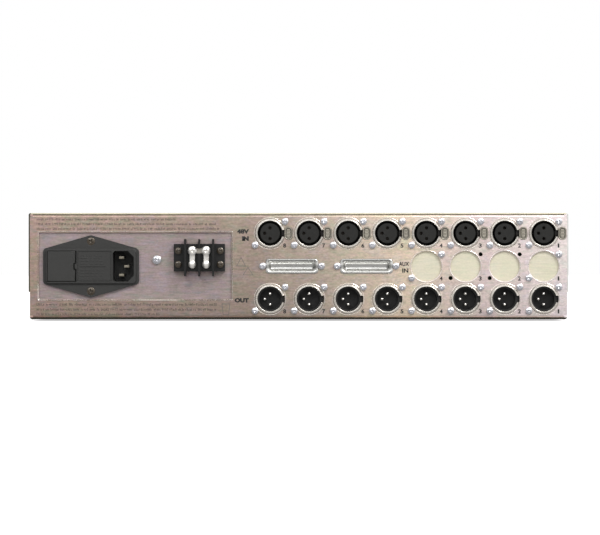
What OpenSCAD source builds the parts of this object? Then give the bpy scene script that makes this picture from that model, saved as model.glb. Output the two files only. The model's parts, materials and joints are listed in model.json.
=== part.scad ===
// Eight-channel microphone preamplifier for a 19-inch rack, two units high.
// Frame: X to the right seen from the front, Y from the front panel back to the connector
// panel, Z up. The origin is the centre of the rack-slot pattern, on the back face of the
// front panel. Parts on the connector panel are drawn as seen from behind (rear_view) and
// parts on the front panel as seen from the front (front_view): x right, y up, z outward.

/* [Case] */
// Width over the lid's side skirts
case_w = 431.8; // [425:0.1:440]
// Height from the tray's underside to the lid's top
case_h = 85; // [84:0.5:86]
// Depth behind the front panel
case_d = 305; // [290:1:380]
// Thickness of the tray's sheet
tray_t = 1.5; // [1.2:0.1:2]
// Thickness of the lid's sheet
lid_t = 1; // [0.8:0.1:1.2]
// Thickness of the connector panel's sheet
rear_t = 1.6; // [1.2:0.1:2]
// How far the lid's skirts reach down the sides
skirt_h = 63; // [45:1:70]

/* [Front panel] */
// Width over the rack ears
panel_w = 482.6; // [482:0.1:483]
// Height of the front panel
panel_h = 88.1; // [87.9:0.1:88.9]
// Thickness of the front panel
panel_t = 4.8; // [3:0.2:6]
// Horizontal distance between rack-slot centres
slot_pitch_x = 465.1; // [465:0.1:465.2]
// Vertical distance between rack-slot centres
slot_pitch_z = 76.2; // [76.1:0.1:76.3]
// Distance between gain knobs
channel_pitch = 46; // [44:0.5:47]
// Radius of a gain knob's grip
knob_r = 11; // [9:0.5:12]
// Height of a gain knob
knob_h = 16; // [12:1:20]

/* [Connector panel] */
// Distance between neighbouring XLR connectors
xlr_pitch = 31.3; // [31:0.1:31.5]
// Height of the input row above the middle, and of the output row below it
xlr_row = 26.3; // [26:0.1:26.6]
// Radius of the round hole for a D-size connector
d_hole_r = 12; // [11.9:0.1:12.1]
// Width of the window behind which the power plate lies
window_w = 154; // [152:1:156]
// Height of the window
window_h = 53.2; // [50:0.2:54]

/* [Travel] */
// Travel of an XLR latch tab
latch_travel = 1.5; // [1:0.1:1.5]
// Travel of a phantom-power button
button_travel = 2; // [1.5:0.1:2]
// Tilt of the power rocker to either side, in degrees
rocker_tilt = 8; // [5:0.5:8]

/* [Hidden] */
$fn = 48;
channels = 8;
e = 0.05;                        // running clearance on a radius
far = 1;                         // how far a cutter runs past the face it cuts
case_top = case_h / 2;
case_bot = -case_h / 2;
tray_w = case_w - 2 * lid_t;
tray_top = case_top - lid_t;
tray_h = tray_top - case_bot;
tray_cz = (tray_top + case_bot) / 2;
inner_w = tray_w - 2 * tray_t;
floor_z = case_bot + tray_t;
bend_r = 2;                      // outer radius of the tray's folds
lip = 10;                        // width of the tray's top lips
lip_gap = 18;                    // the lips stop this far short of the connector panel

// M3 hardware
m3_r = 1.45;
m3_clear = 1.65;
m3_tap = 1.5;
pan_r = 2.8;
pan_h = 2;

// D-size connectors
d_screw = [12, 9.5];             // one fixing screw, the other is point-symmetric
ring_r = 11.7;
ring_proud = 0.9;
shell_back = -14;
flange_r = 12.6;
flange_t = 2.2;
key_w = 5.5;
insert_r = 8.15;
contact_circle = 4.3;
tab_size = [6.2, 10];
tab_x = 14.8;
tab_slot = [6.6, 10.4];
board_y = 281;                   // front face of the board behind the connectors
board_t = 1.6;
aux_first = 1;                   // the four spare holes stand over outputs 1 to 4
aux_last = 4;

// D-sub covers
dsub_x = [-5.2, 54.4];
dsub_cut = [41.2, 11.2];
dsub_screw = 23.52;

// Power plate, seen from behind
window_x = -130.6;
inlet_pos = [-166, -0.1];
inlet_flange = [76.8, 49.6];
inlet_body = [72.8, 28];
inlet_cut = [71, 26.4];
inlet_screw = 20;
inlet_plate_z = -rear_t;         // the power plate's outer face, from the connector panel's
flange_h = 2.6;
body_h = 4.4;
socket_size = [16.7, 24.4];
socket_x = 26;
drawer_x = -23.7;
drawer_size = [22.5, 24.6];
drawer_gap = 0.15;
seam_w = 1;                      // the wider gap beside the drawer's free edge
pry_size = [1.4, 5.2];
carrier_size = [18, 20];
drawer_depth = 30;
earth_pos = [-113.4, 5];
strip_pos = [-79.2, 6.8];
strip_size = [40.8, 22];
strip_pitch = 11.15;
strip_h = 9;
barrier_size = [1.4, 29.8];
barrier_h = 13;
post_dy = 5.4;

// Front panel, seen from the front
channel_x1 = -187;
gain_z = 5;
button_z = -28;
led_z = 33;
led_dx = 4;
power_pos = [187, 0];
rocker_size = [11.6, 18.6];
frame_open = [12, 19];
frame_size = [18, 26];
bushing_r = 4.7;
shaft_r = 3;
knob_gap = 1.2;
button_size = 7;
control_board_y = 24;

// Inside
shield_x = 66;
main_board_z = -31;
toroid_pos = [150, 108];
toroid_r = 44;
toroid_h = 38;

function xlr_x(k) = 196.3 - xlr_pitch * (k - 1);
function channel_x(k) = channel_x1 + channel_pitch * (k - 1);
function contact_at(i) = contact_circle * [cos(90 * i + 90), sin(90 * i + 90)];

// ---------------------------------------------------------------- placing

module rear_view() {
    translate([0, case_d, 0]) rotate([90, 0, 180]) children();
}

module front_view() {
    rotate([90, 0, 0]) children();
}

module along_x(x0, length) {
    translate([x0, 0, 0]) rotate([90, 0, 90]) linear_extrude(length) children();
}

module along_y(y0, length) {
    translate([0, y0 + length, 0]) rotate([90, 0, 0]) linear_extrude(length) children();
}

// Extrudes a flat shape from height z0 to height z1.
module slab(z0, z1) {
    translate([0, 0, z0]) linear_extrude(z1 - z0) children();
}

module at(p, z = 0) {
    translate([p[0], p[1], z]) children();
}

// Both corners of a point-symmetric pair of holes.
module both(p) {
    for (s = [-1, 1]) translate([s * p[0], s * p[1]]) children();
}

module input_row() {
    for (k = [1:channels]) translate([xlr_x(k), xlr_row]) children();
}

module output_row() {
    for (k = [1:channels]) translate([xlr_x(k), -xlr_row]) children();
}

module aux_row() {
    for (k = [aux_first:aux_last]) translate([xlr_x(k), 0]) children();
}

module each_channel() {
    for (k = [1:channels]) translate([channel_x(k), 0]) children();
}

// ---------------------------------------------------------------- flat shapes

module round_rect(size, r) {
    square([size[0] - 2 * r, size[1]], center = true);
    square([size[0], size[1] - 2 * r], center = true);
    for (sx = [-1, 1], sy = [-1, 1])
        translate([sx * (size[0] / 2 - r), sy * (size[1] / 2 - r)]) circle(r);
}

module slot(length, width) {
    square([length - width, width], center = true);
    for (s = [-1, 1]) translate([s * (length - width) / 2, 0]) circle(width / 2);
}

// Section of a folded sheet that is open on one side.
module folded_rect(size, t, r) {
    difference() {
        round_rect(size, r);
        round_rect([size[0] - 2 * t, size[1] - 2 * t], r - t);
    }
}

module d_flange() {
    circle(flange_r);
    rotate(atan2(d_screw[1], d_screw[0])) slot(2 * norm(d_screw) + 6.4, 6.4);
}

// The key slot of a connector shell, on the latch side.
module key_slot() {
    translate([flange_r, 0]) square([10, key_w], center = true);
}

// Mains socket opening: a rectangle with its two outer corners cut off far, its inner ones
// a little.
module socket_shape(grow = 0) {
    w = socket_size[0] / 2 + grow;
    h = socket_size[1] / 2 + grow;
    polygon([[1.5 - w, -h], [w - 4.8, -h], [w, 4.8 - h], [w, h - 4.8], [w - 4.8, h],
             [1.5 - w, h], [-w, h - 1.5], [-w, 1.5 - h]]);
}

// ---------------------------------------------------------------- fasteners

// Cross recess of a screw head that stands h high.
module cross_recess(r, h) {
    for (a = [45, 135])
        rotate(a) translate([-0.62 * r, -0.13 * r, h - 0.5 * r]) cube([1.24 * r, 0.26 * r, r]);
}

// A pan-head screw whose head rests on z = 0.
module pan_screw(shank_r, head_r, head_h, length) {
    difference() {
        union() {
            intersection() {
                cylinder(h = head_h, r = head_r);
                translate([0, 0, head_h - 1.6 * head_r]) sphere(1.6 * head_r);
            }
            translate([0, 0, -length]) cylinder(h = length + 0.3, r = shank_r);
        }
        cross_recess(head_r, head_h);
    }
}

// A countersunk screw whose head is flush with z = 0.
module flat_screw(shank_r, head_r, length) {
    difference() {
        union() {
            translate([0, 0, -(head_r - shank_r)])
                cylinder(h = head_r - shank_r, r1 = shank_r, r2 = head_r);
            translate([0, 0, -length]) cylinder(h = length, r = shank_r);
        }
        cross_recess(head_r, 0);
    }
}

// A button-head screw with a hexagon socket, its head resting on z = 0.
module button_screw(shank_r, head_r, head_h, length) {
    difference() {
        union() {
            intersection() {
                cylinder(h = head_h, r = head_r);
                translate([0, 0, head_h - 1.3 * head_r]) sphere(1.3 * head_r);
            }
            translate([0, 0, -length]) cylinder(h = length + 0.3, r = shank_r);
        }
        translate([0, 0, head_h - 1]) cylinder(h = 2, r = 1.15, $fn = 6);
    }
}

// ---------------------------------------------------------------- case

skirt_screw_y = [32, 152, 272];
skirt_screw_z = 8;
lid_screw_x = [-150, 0, 150];
front_screws = [[-205, 33], [205, 33], [-205, -33], [205, -33]];

module front_openings(bush, button, led) {
    each_channel() {
        translate([0, gain_z]) circle(bush);
        translate([0, button_z]) square(button, center = true);
        for (x = [-led_dx, led_dx]) translate([x, led_z]) circle(led);
        translate([9, button_z]) circle(led);
    }
}

module tray_profile() {
    difference() {
        translate([0, tray_cz]) folded_rect([tray_w, tray_h], tray_t, bend_r);
        translate([0, tray_top]) square([inner_w - 2 * lip, 6], center = true);
    }
}

module chassis_tray() {
    color("silver") difference() {
        union() {
            along_y(0, case_d) tray_profile();
            along_y(0, tray_t) translate([0, tray_cz]) round_rect([tray_w - 1, tray_h - 1], 1.5);
        }
        // no lips at the back, and the side walls end on the connector panel
        translate([-inner_w / 2, case_d - lip_gap, floor_z + 20])
            cube([inner_w, lip_gap + far, tray_h]);
        translate([-case_w / 2, case_d - rear_t, floor_z]) cube([case_w, rear_t + far, tray_h]);
        // room for the outermost latch tab
        translate([-case_w / 2, case_d - 12, xlr_row - 6.5]) cube([10, 12, 13]);
        front_view() slab(-tray_t - far, far) {
            front_openings(4.8, button_size + 0.6, 1.6);
            for (p = front_screws) translate(p) circle(m3_tap);
            translate(power_pos) square(frame_open + [3.2, 3.2], center = true);
        }
        for (y = skirt_screw_y) translate([0, y, skirt_screw_z]) rotate([0, 90, 0])
            cylinder(h = case_w, r = m3_tap, center = true);
        translate([toroid_pos[0], toroid_pos[1], case_bot - far])
            cylinder(h = tray_t + 2 * far, r = 3.1);
        for (p = standoff_at) translate([p[0], p[1], case_bot - far])
            cylinder(h = tray_t + 2 * far, r = m3_clear);
    }
}

vent_rows = [[-150, 120], [-60, 120], [150, 110]];
vent_count = 9;
vent_pitch = 8;

module vents() {
    for (v = vent_rows, i = [0:vent_count - 1])
        translate([v[0], v[1] + vent_pitch * (i - (vent_count - 1) / 2)]) slot(64, 3.6);
}

// Countersunk holes for the screws that hold the lid to the connector panel's top flange.
module lid_screw_holes(r) {
    for (x = lid_screw_x) translate([x, case_d - 7, case_top]) {
        translate([0, 0, -5]) cylinder(h = 5, r = r);
        translate([0, 0, -1.65]) cylinder(h = 1.75, r1 = 1.5, r2 = 3.25);
    }
}

module lid_profile() {
    tall = 2 * skirt_h + 40;
    difference() {
        translate([0, case_top - tall / 2]) folded_rect([case_w, tall], lid_t, 1.6);
        translate([0, case_top - skirt_h - tall / 2]) square([case_w + 2, tall], center = true);
    }
}

module top_cover() {
    color("silver") difference() {
        along_y(0, case_d) lid_profile();
        slab(tray_top - far, case_top + far) vents();
        lid_screw_holes(m3_clear);
        for (y = skirt_screw_y) translate([0, y, skirt_screw_z]) rotate([0, 90, 0])
            cylinder(h = case_w + 2, r = m3_clear, center = true);
    }
}

module rear_openings() {
    input_row() {
        circle(d_hole_r);
        both(d_screw) circle(m3_clear);
        translate([tab_x, 0]) round_rect(tab_slot, 3);
    }
    output_row() {
        circle(d_hole_r);
        both(d_screw) circle(m3_clear);
    }
    aux_row() {
        circle(d_hole_r);
        both(d_screw) circle(m3_clear);
    }
    for (x = dsub_x) translate([x, 0]) {
        round_rect(dsub_cut, 2.6);
        both([dsub_screw, 0]) circle(m3_clear);
    }
    translate([window_x, 0.3]) round_rect([window_w, window_h], 0.6);
}

// Folded panel: a plate over the ends of the tray's walls, with short flanges turned
// forward at its top and bottom.
module rear_panel() {
    fold = 13;
    w = inner_w - 1.6;
    h = tray_top - floor_z;
    color("tan") difference() {
        union() {
            along_x(-w / 2, w) translate([case_d, (tray_top + floor_z) / 2]) difference() {
                translate([-fold, 0]) folded_rect([2 * fold, h], rear_t, bend_r + 0.1);
                translate([-2 * fold, 0]) square([2 * fold, h + 2], center = true);
            }
            along_y(case_d - rear_t, rear_t) translate([0, (tray_top + floor_z) / 2])
                square([tray_w, h - 2 * bend_r - 0.4], center = true);
        }
        rear_view() slab(-rear_t - far, far) rear_openings();
        lid_screw_holes(m3_tap);
    }
}

module front_panel() {
    color("dimgray") front_view() difference() {
        union() {
            slab(0, panel_t - 0.6) round_rect([panel_w, panel_h], 1.2);
            slab(panel_t - 0.7, panel_t) round_rect([panel_w - 1, panel_h - 1], 0.8);
        }
        slab(-far, panel_t + far) {
            front_openings(4.8, button_size + 0.6, 1.6);
            for (sx = [-1, 1], sz = [-1, 1])
                translate([sx * slot_pitch_x / 2, sz * slot_pitch_z / 2]) slot(10.3, 7);
            for (p = front_screws) translate(p) circle(m3_clear);
            translate(power_pos) square(frame_open + [3.2, 3.2], center = true);
        }
        for (p = front_screws) at(p, panel_t - 1.65) cylinder(h = 1.75, r1 = 1.5, r2 = 3.25);
    }
}

module case_screws() {
    color("black") {
        front_view() for (p = front_screws) at(p, panel_t) flat_screw(m3_r, 3.1, panel_t + 6);
        for (s = [-1, 1], y = skirt_screw_y)
            translate([s * case_w / 2, y, skirt_screw_z]) rotate([0, s * 90, 0])
                button_screw(m3_r, 2.8, 1.6, 6);
        for (x = lid_screw_x) translate([x, case_d - 7, case_top]) flat_screw(m3_r, 3.1, 5);
    }
}

// ---------------------------------------------------------------- connector panel

module power_plate() {
    left = -inner_w / 2 + 1.2;
    right = -49;
    color("gray") rear_view() slab(-2 * rear_t, -rear_t) difference() {
        translate([(left + right) / 2, 0.3]) square([right - left, 74], center = true);
        translate(inlet_pos) {
            square(inlet_cut, center = true);
            for (s = [-1, 1]) translate([0, s * inlet_screw]) circle(m3_tap);
        }
        translate(earth_pos) circle(2.0);
        translate(strip_pos) {
            square([2 * strip_pitch - 2, 8], center = true);
            for (sx = [-1, 1], sy = [-1, 1])
                translate([sx * 1.5 * strip_pitch, sy * post_dy]) circle(m3_tap);
        }
    }
}

module blanking_strip() {
    x1 = xlr_x(aux_first) + 15.8;
    x4 = xlr_x(aux_last) - 15.8;
    // tapped where it is screwed on, clear at the two vacant positions between
    color("khaki") rear_view() slab(-2 * rear_t, -rear_t) difference() {
        translate([(x1 + x4) / 2, 0]) square([x1 - x4, 25.2], center = true);
        for (k = [aux_first:aux_last]) translate([xlr_x(k), 0])
            both(d_screw) circle(k == aux_first || k == aux_last ? m3_tap : m3_clear);
    }
}

// Pressed cover for an unused D-sub opening: flange behind the panel, pan through it.
module dsub_covers() {
    sheet = 0.8;
    pan_depth = 4.4;
    color("gainsboro") rear_view() for (x = dsub_x) translate([x, 0]) difference() {
        union() {
            slab(-rear_t - sheet, -rear_t) round_rect([53, 12.5], 1.5);
            slab(-rear_t - sheet, 0.5) round_rect(dsub_cut - [0.6, 0.6], 2.3);
            slab(0.4, 1) round_rect(dsub_cut - [1.6, 1.6], 1.8);
            slab(-pan_depth - sheet, -rear_t) round_rect([37.2, 8.2], 2.5);
        }
        slab(-pan_depth, 1 + far) round_rect([34.6, 5.8], 2.2);
        slab(-0.6, 1 + far) round_rect([37.4, 8], 1.8);
        both([dsub_screw, 0]) slab(-4, 0) circle(m3_tap);
    }
}

// Metal shell of a D-size connector: a ring through the panel, with its flange behind.
module d_shell(bore_r) {
    chamfer = 0.45;
    difference() {
        union() {
            slab(shell_back, ring_proud - chamfer) circle(ring_r);
            translate([0, 0, ring_proud - chamfer])
                cylinder(h = chamfer, r1 = ring_r, r2 = ring_r - chamfer);
            slab(-rear_t - flange_t, -rear_t) d_flange();
        }
        slab(shell_back - far, ring_proud + far) circle(bore_r);
        translate([0, 0, ring_proud - chamfer])
            cylinder(h = chamfer + e, r1 = bore_r, r2 = bore_r + chamfer + e);
        slab(-10, ring_proud + far) key_slot();
        slab(-5, 0) both(d_screw) circle(m3_tap);
    }
}

female_bore = 9.75;
male_bore = 9.7;

module xlr_female_shells() {
    color("silver") rear_view() input_row() difference() {
        d_shell(female_bore);
        // the latch tab passes through the flange
        slab(-10, far) translate([tab_x, 0]) round_rect(tab_slot, 3);
    }
}

// The male shell has a second, shallow key opposite the slot.
module xlr_male_shells() {
    color("silver") rear_view() output_row() difference() {
        d_shell(male_bore);
        slab(-10, ring_proud + far) translate([-9.6, 0]) square([1.4, 4.8], center = true);
    }
}

// Insulator of an input connector: a round nose with three contact holes.
module xlr_female_inserts() {
    color("dimgray") rear_view() input_row() difference() {
        union() {
            slab(shell_back, -0.8) circle(insert_r);
            translate([0, 0, -0.8]) cylinder(h = 0.4, r1 = insert_r, r2 = insert_r - 0.4);
            slab(shell_back, -12) circle(female_bore - e);
            slab(-9.9, -8.5) translate([9.6, 0]) square([3.6, key_w - 0.2], center = true);
            slab(-19, shell_back - e) circle(11);
            slab(shell_back - 1, shell_back) circle(insert_r);
        }
        for (i = [0:2]) at(contact_at(i), -20) cylinder(h = 21, r = 1.35);
    }
}

// Insulator of an output connector: a cup that lines the shell.
module xlr_male_inserts() {
    color("black") rear_view() output_row() difference() {
        union() {
            slab(shell_back, -1) circle(male_bore - e);
            slab(-9.9, -1) translate([-9.5, 0]) square([1.4, 4.6], center = true);
            slab(-9.9, -3) translate([10, 0]) square([2.8, key_w - 0.2], center = true);
            slab(-19, shell_back - e) circle(11);
            slab(shell_back - 1, shell_back) circle(insert_r);
        }
        slab(-12, far) circle(8.75);
        slab(-3, far) key_slot();
        for (i = [0:2]) at(contact_at(i), -20) cylinder(h = 21, r = 1.25);
    }
}

module contact_tail() {
    slab(board_y - case_d + board_t, -18.9) circle(0.5);
}

module xlr_contacts() {
    color("gold") rear_view() {
        input_row() for (i = [0:2]) at(contact_at(i)) {
            difference() {
                slab(-19, -5) circle(1.3);
                slab(-14, far) circle(0.95);
            }
            contact_tail();
        }
        output_row() for (i = [0:2]) at(contact_at(i)) {
            slab(-19, -2.6) circle(1.2);
            translate([0, 0, -2.6]) sphere(1.2);
            contact_tail();
        }
    }
}

// Plated screws of the connector panel: connectors, covers, blanking strip and earth.
module rear_screws() {
    color("silver") rear_view() {
        input_row() both(d_screw) pan_screw(m3_r, pan_r, pan_h, 6);
        output_row() both(d_screw) pan_screw(m3_r, pan_r, pan_h, 6);
        for (k = [aux_first, aux_last]) translate([xlr_x(k), 0])
            both(d_screw) pan_screw(m3_r, pan_r, pan_h, 6);
        for (x = dsub_x) translate([x, 0])
            both([dsub_screw, 0]) pan_screw(m3_r, pan_r, pan_h, 6);
        at(earth_pos, -rear_t) pan_screw(1.95, 3.5, 2.5, 8);
    }
}

// A latch tab: the oval button beside an input, with the arm that holds the plug.
module latch_tab(k) {
    color("darkgray") rear_view() translate([xlr_x(k), xlr_row]) {
        translate([tab_x, 0]) {
            slab(-8, 0) round_rect(tab_size, 2.8);
            slab(-0.1, 0.4) round_rect(tab_size - [0.8, 0.8], 2.4);
        }
        // the hook behind the plug is as deep as the tab's travel
        slab(-4.5 - latch_travel, -4.5) translate([11.4, 0]) square([4.8, 4.2], center = true);
    }
}

// ---------------------------------------------------------------- mains inlet

module inlet_outline() {
    hull() {
        for (sx = [-1, 1], sy = [-1, 1])
            translate([sx * (inlet_flange[0] / 2 - 3.6), sy * 11.2]) circle(3.6);
        for (sy = [-1, 1]) translate([0, sy * (inlet_flange[1] / 2 - 5)]) circle(5);
    }
}

// Opening of the drawer bay: a hairline gap on three sides and a seam on the fourth, which
// steps round a short tongue.
module bay_outline() {
    edge = drawer_size[0] / 2 + seam_w;
    difference() {
        translate([(seam_w - drawer_gap) / 2, 0])
            square(drawer_size + [seam_w + drawer_gap, 2 * drawer_gap], center = true);
        translate([edge, 0]) square([2 * pry_size[0], pry_size[1] - 0.8], center = true);
    }
}

module inlet_housing() {
    color([0.13, 0.13, 0.13]) rear_view() at(inlet_pos, inlet_plate_z) difference() {
        union() {
            slab(0, flange_h) inlet_outline();
            slab(0, body_h - 0.5) round_rect(inlet_body, 3.2);
            slab(body_h - 0.6, body_h) round_rect(inlet_body - [1, 1], 2.7);
            slab(-34, 0.1) square(inlet_cut - [0.6, 0.6], center = true);
        }
        // drawer bay
        translate([drawer_x, 0]) {
            slab(0.2, body_h + far) bay_outline();
            slab(-drawer_depth, far) square(carrier_size + [0.6, 0.6], center = true);
        }
        // grooves around and across the rating field
        slab(body_h - 0.35, body_h + far) {
            translate([2.9, 0]) difference() {
                square([26.8, 24], center = true);
                square([26.1, 23.3], center = true);
            }
            translate([1.5, -0.6]) square([20.8, 0.5], center = true);
        }
        // socket
        translate([socket_x, 0]) slab(-16, body_h + far) socket_shape();
        for (p = blade_at) at(p + [socket_x, 0]) slab(-35, -15) square(blade_size, center = true);
        for (s = [-1, 1]) translate([0, s * inlet_screw, 0]) {
            slab(-far, body_h + far) circle(m3_clear);
            translate([0, 0, flange_h - 1.9]) cylinder(h = 2, r1 = m3_r + 0.1, r2 = 3.6);
        }
    }
}

blade_size = [4.2, 2.2];
blade_at = [[-1.8, 7], [2.3, 0], [-1.8, -7]];

module inlet_blades() {
    color("silver") rear_view() at(inlet_pos, inlet_plate_z)
        for (p = blade_at) translate([socket_x + p[0], p[1], 0]) {
            slab(-40, -2) square([4, 2], center = true);
            slab(-2.1, -1.3) square([3.2, 1.2], center = true);
        }
}

// Drawer front with its carrier for two fuses, one above the other.
module fuse_drawer() {
    front = body_h + 0.2;
    color([0.16, 0.16, 0.16]) rear_view() at(inlet_pos + [drawer_x, 0], inlet_plate_z)
        difference() {
            union() {
                slab(0.4, front - 0.5) square(drawer_size, center = true);
                slab(front - 0.6, front) square(drawer_size - [0.8, 0.8], center = true);
                slab(-drawer_depth + 0.5, 0.5) square(carrier_size, center = true);
            }
            for (s = [-1, 1]) slab(-drawer_depth - far, -5) translate([3, s * 5])
                square([14.4, 7], center = true);
            translate([drawer_size[0] / 2, 0]) slab(-far, front + far)
                square([2 * pry_size[0], pry_size[1]], center = true);
        }
}

module fuses() {
    color("white") rear_view() at(inlet_pos + [drawer_x, 0], inlet_plate_z)
        for (s = [-1, 1]) translate([2, s * 5, -26.5]) difference() {
            union() {
                cylinder(h = 20, r = 2.3);
                cylinder(h = 5, r = 2.6);
                translate([0, 0, 15]) cylinder(h = 5, r = 2.6);
            }
            translate([0, 0, 1]) cylinder(h = 18, r = 1.9);
        }
}

module power_plate_screws() {
    color("black") rear_view() {
        at(inlet_pos, inlet_plate_z + flange_h) for (s = [-1, 1])
            translate([0, s * inlet_screw, -0.1]) flat_screw(m3_r - 0.05, 3.3, 9);
        at(strip_pos, inlet_plate_z + 6.4) for (sx = [-1, 1], sy = [-1, 1])
            translate([sx * 1.5 * strip_pitch, sy * post_dy, 0])
                pan_screw(m3_r - 0.05, 2.7, 1.8, 12);
    }
}

// ---------------------------------------------------------------- terminal block

module terminal_block() {
    deck = 6;
    color([0.1, 0.1, 0.1]) rear_view() at(strip_pos, inlet_plate_z) difference() {
        union() {
            slab(0, deck) square(strip_size, center = true);
            for (i = [-1:1]) translate([i * strip_pitch, 0]) {
                slab(0, strip_h) square([3.2, strip_size[1]], center = true);
                slab(0, barrier_h) round_rect(barrier_size, 0.6);
            }
            slab(-4, 0.1) square([2 * strip_pitch - 3, 7], center = true);
        }
        for (sx = [-1, 1], sy = [-1, 1])
            translate([sx * 1.5 * strip_pitch, sy * post_dy, 0])
                slab(-far, deck + far) circle(m3_clear);
        for (sx = [-0.5, 0.5], sy = [-1, 1])
            translate([sx * strip_pitch, sy * post_dy, 0]) slab(1, deck + far) circle(1.8);
        // slot that lets the link cross the middle barrier
        slab(deck + 0.7, barrier_h + far) translate([0, post_dy]) square([4, 4.6], center = true);
    }
}

// Conductor of one circuit: two round pads joined by a narrow neck.
module terminal_plates() {
    color("silver") rear_view() at(strip_pos, inlet_plate_z + 6.05)
        for (s = [-0.5, 0.5]) translate([s * strip_pitch, 0, 0]) slab(0, 0.8) difference() {
            union() {
                square([4.1, 2 * post_dy], center = true);
                for (sy = [-1, 1]) translate([0, sy * post_dy]) circle(3.2);
            }
            for (sy = [-1, 1]) translate([0, sy * post_dy]) circle(1.8);
        }
}

// Clamping screws above, domed rivets below.
module terminal_screws() {
    pad_top = inlet_plate_z + 6.85;
    color("silver") rear_view() at(strip_pos) for (s = [-0.5, 0.5]) {
        translate([s * strip_pitch, post_dy, pad_top + 0.85]) pan_screw(1.75, 3.6, 2.6, 5.5);
        translate([s * strip_pitch, -post_dy, pad_top]) {
            intersection() {
                cylinder(h = 2.2, r = 3.1);
                translate([0, 0, -1.7]) sphere(3.9);
            }
            slab(-5, 0.1) circle(1.7);
        }
    }
}

// Link that joins the two circuits, clamped under the upper screws.
module ground_link() {
    color("silver") rear_view() at(strip_pos + [0, post_dy], inlet_plate_z + 6.85)
        slab(0, 0.8) difference() {
            union() {
                square([strip_pitch, 4], center = true);
                for (s = [-0.5, 0.5]) translate([s * strip_pitch, 0]) circle(3.3);
            }
            for (s = [-0.5, 0.5]) translate([s * strip_pitch, 0]) circle(1.85);
        }
}

// ---------------------------------------------------------------- front controls

knob_back = panel_t + knob_gap;
knob_top = knob_back + knob_h;
skirt_t = 2.4;
flutes = 20;

// Grip of a knob: a circle with shallow flutes all round, except at the pointer.
module grip_profile() {
    difference() {
        circle(knob_r);
        for (i = [1:flutes - 1]) rotate(90 + i * 360 / flutes)
            translate([knob_r + 0.35, 0]) circle(1.1);
        translate([-0.5, knob_r - 0.5]) square([1, 2]);
    }
}

// A turned knob on its switch shaft. Rest is the fully counter-clockwise position.
module gain_knob(k) {
    color("gainsboro") front_view() translate([channel_x(k), gain_z, 0]) rotate(150) {
        difference() {
            union() {
                slab(knob_back, knob_back + skirt_t) circle(knob_r + 1.4);
                slab(knob_back + skirt_t - 0.1, knob_top - 0.6) grip_profile();
                slab(knob_top - 0.7, knob_top) circle(knob_r - 1.2);
            }
            slab(knob_back - far, knob_back + 4) circle(8.8);
            slab(knob_back, knob_top - 3) circle(shaft_r + e);
            // pointer groove
            translate([-0.5, 3, knob_top - 0.4]) cube([1, knob_r, 1]);
        }
        slab(-18, knob_top - 3.5) circle(shaft_r);
    }
}

module gain_switches() {
    nut_h = 2;
    color("silver") front_view() each_channel() translate([0, gain_z, 0]) {
        difference() {
            union() {
                slab(-control_board_y + 0.2, -tray_t) circle(13);
                slab(-tray_t - 2, -tray_t) round_rect([28, 28], 2);
                slab(-tray_t - 0.1, panel_t + 3.6) circle(bushing_r);
            }
            slab(-18.5, panel_t + 5) circle(shaft_r + e);
        }
        slab(panel_t, panel_t + nut_h) difference() {
            circle(8, $fn = 6);
            circle(bushing_r + e);
        }
    }
}

module phantom_button(k) {
    // the cap still stands out of the panel at the end of its travel
    rim = panel_t + button_travel + 1;
    color("whitesmoke") front_view() translate([channel_x(k), button_z, 0]) {
        slab(0.9, rim) round_rect([button_size, button_size], 0.8);
        slab(rim - 0.1, rim + 0.4) round_rect([button_size - 1, button_size - 1], 0.6);
        slab(-6, 1) square(button_size / 2, center = true);
    }
}

module phantom_switches() {
    color("dimgray") front_view() each_channel() translate([0, button_z])
        slab(-control_board_y + 0.2, -tray_t) difference() {
            round_rect([10, 10], 0.5);
            square(button_size / 2 + 0.4, center = true);
        }
}

pivot_z = panel_t - 1;
pivot_r = 1.5;

module power_switch_frame() {
    color("black") front_view() at(power_pos) difference() {
        union() {
            slab(panel_t, panel_t + 1.5) round_rect(frame_size, 1.6);
            slab(panel_t + 1.4, panel_t + 2) round_rect(frame_size - [1.2, 1.2], 1);
            slab(-22, panel_t + 0.1) square(frame_open + [3, 3], center = true);
        }
        slab(-14, panel_t + 3) square(frame_open, center = true);
        translate([0, 0, pivot_z]) rotate([0, 90, 0])
            cylinder(h = 14.4, r = pivot_r + e, center = true);
    }
}

// Rocker, shown pressed at its lower end (off). Its pivot pins turn in the frame.
module power_rocker() {
    half = rocker_size[1] / 2;
    color([0.12, 0.12, 0.12]) front_view() at(power_pos, pivot_z) rotate([rocker_tilt, 0, 0]) {
        rotate([90, 0, 90]) translate([0, 0, -rocker_size[0] / 2])
            linear_extrude(rocker_size[0]) intersection() {
                circle(half);
                polygon([[-half, 0], [-half, 4.6], [0, 4.6 - half * tan(rocker_tilt)],
                         [half, 4.6], [half, 0], [half / 2, -6], [-half / 2, -6]]);
            }
        rotate([0, 90, 0]) cylinder(h = 14, r = pivot_r, center = true);
    }
}

module indicator_leds() {
    color("red") front_view() each_channel()
        for (p = [[-led_dx, led_z], [led_dx, led_z], [9, button_z]]) at(p) {
            slab(-control_board_y + 0.2, panel_t + 0.5) circle(1.5);
            translate([0, 0, panel_t + 0.5]) sphere(1.5);
        }
}

// ---------------------------------------------------------------- inside

standoff_at = [for (x = [-200, -70, 52], y = [40, 196, 262]) [x, y],
               for (x = [85, 195], y = [190, 262]) [x, y]];
board_lift = main_board_z - floor_z;

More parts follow.
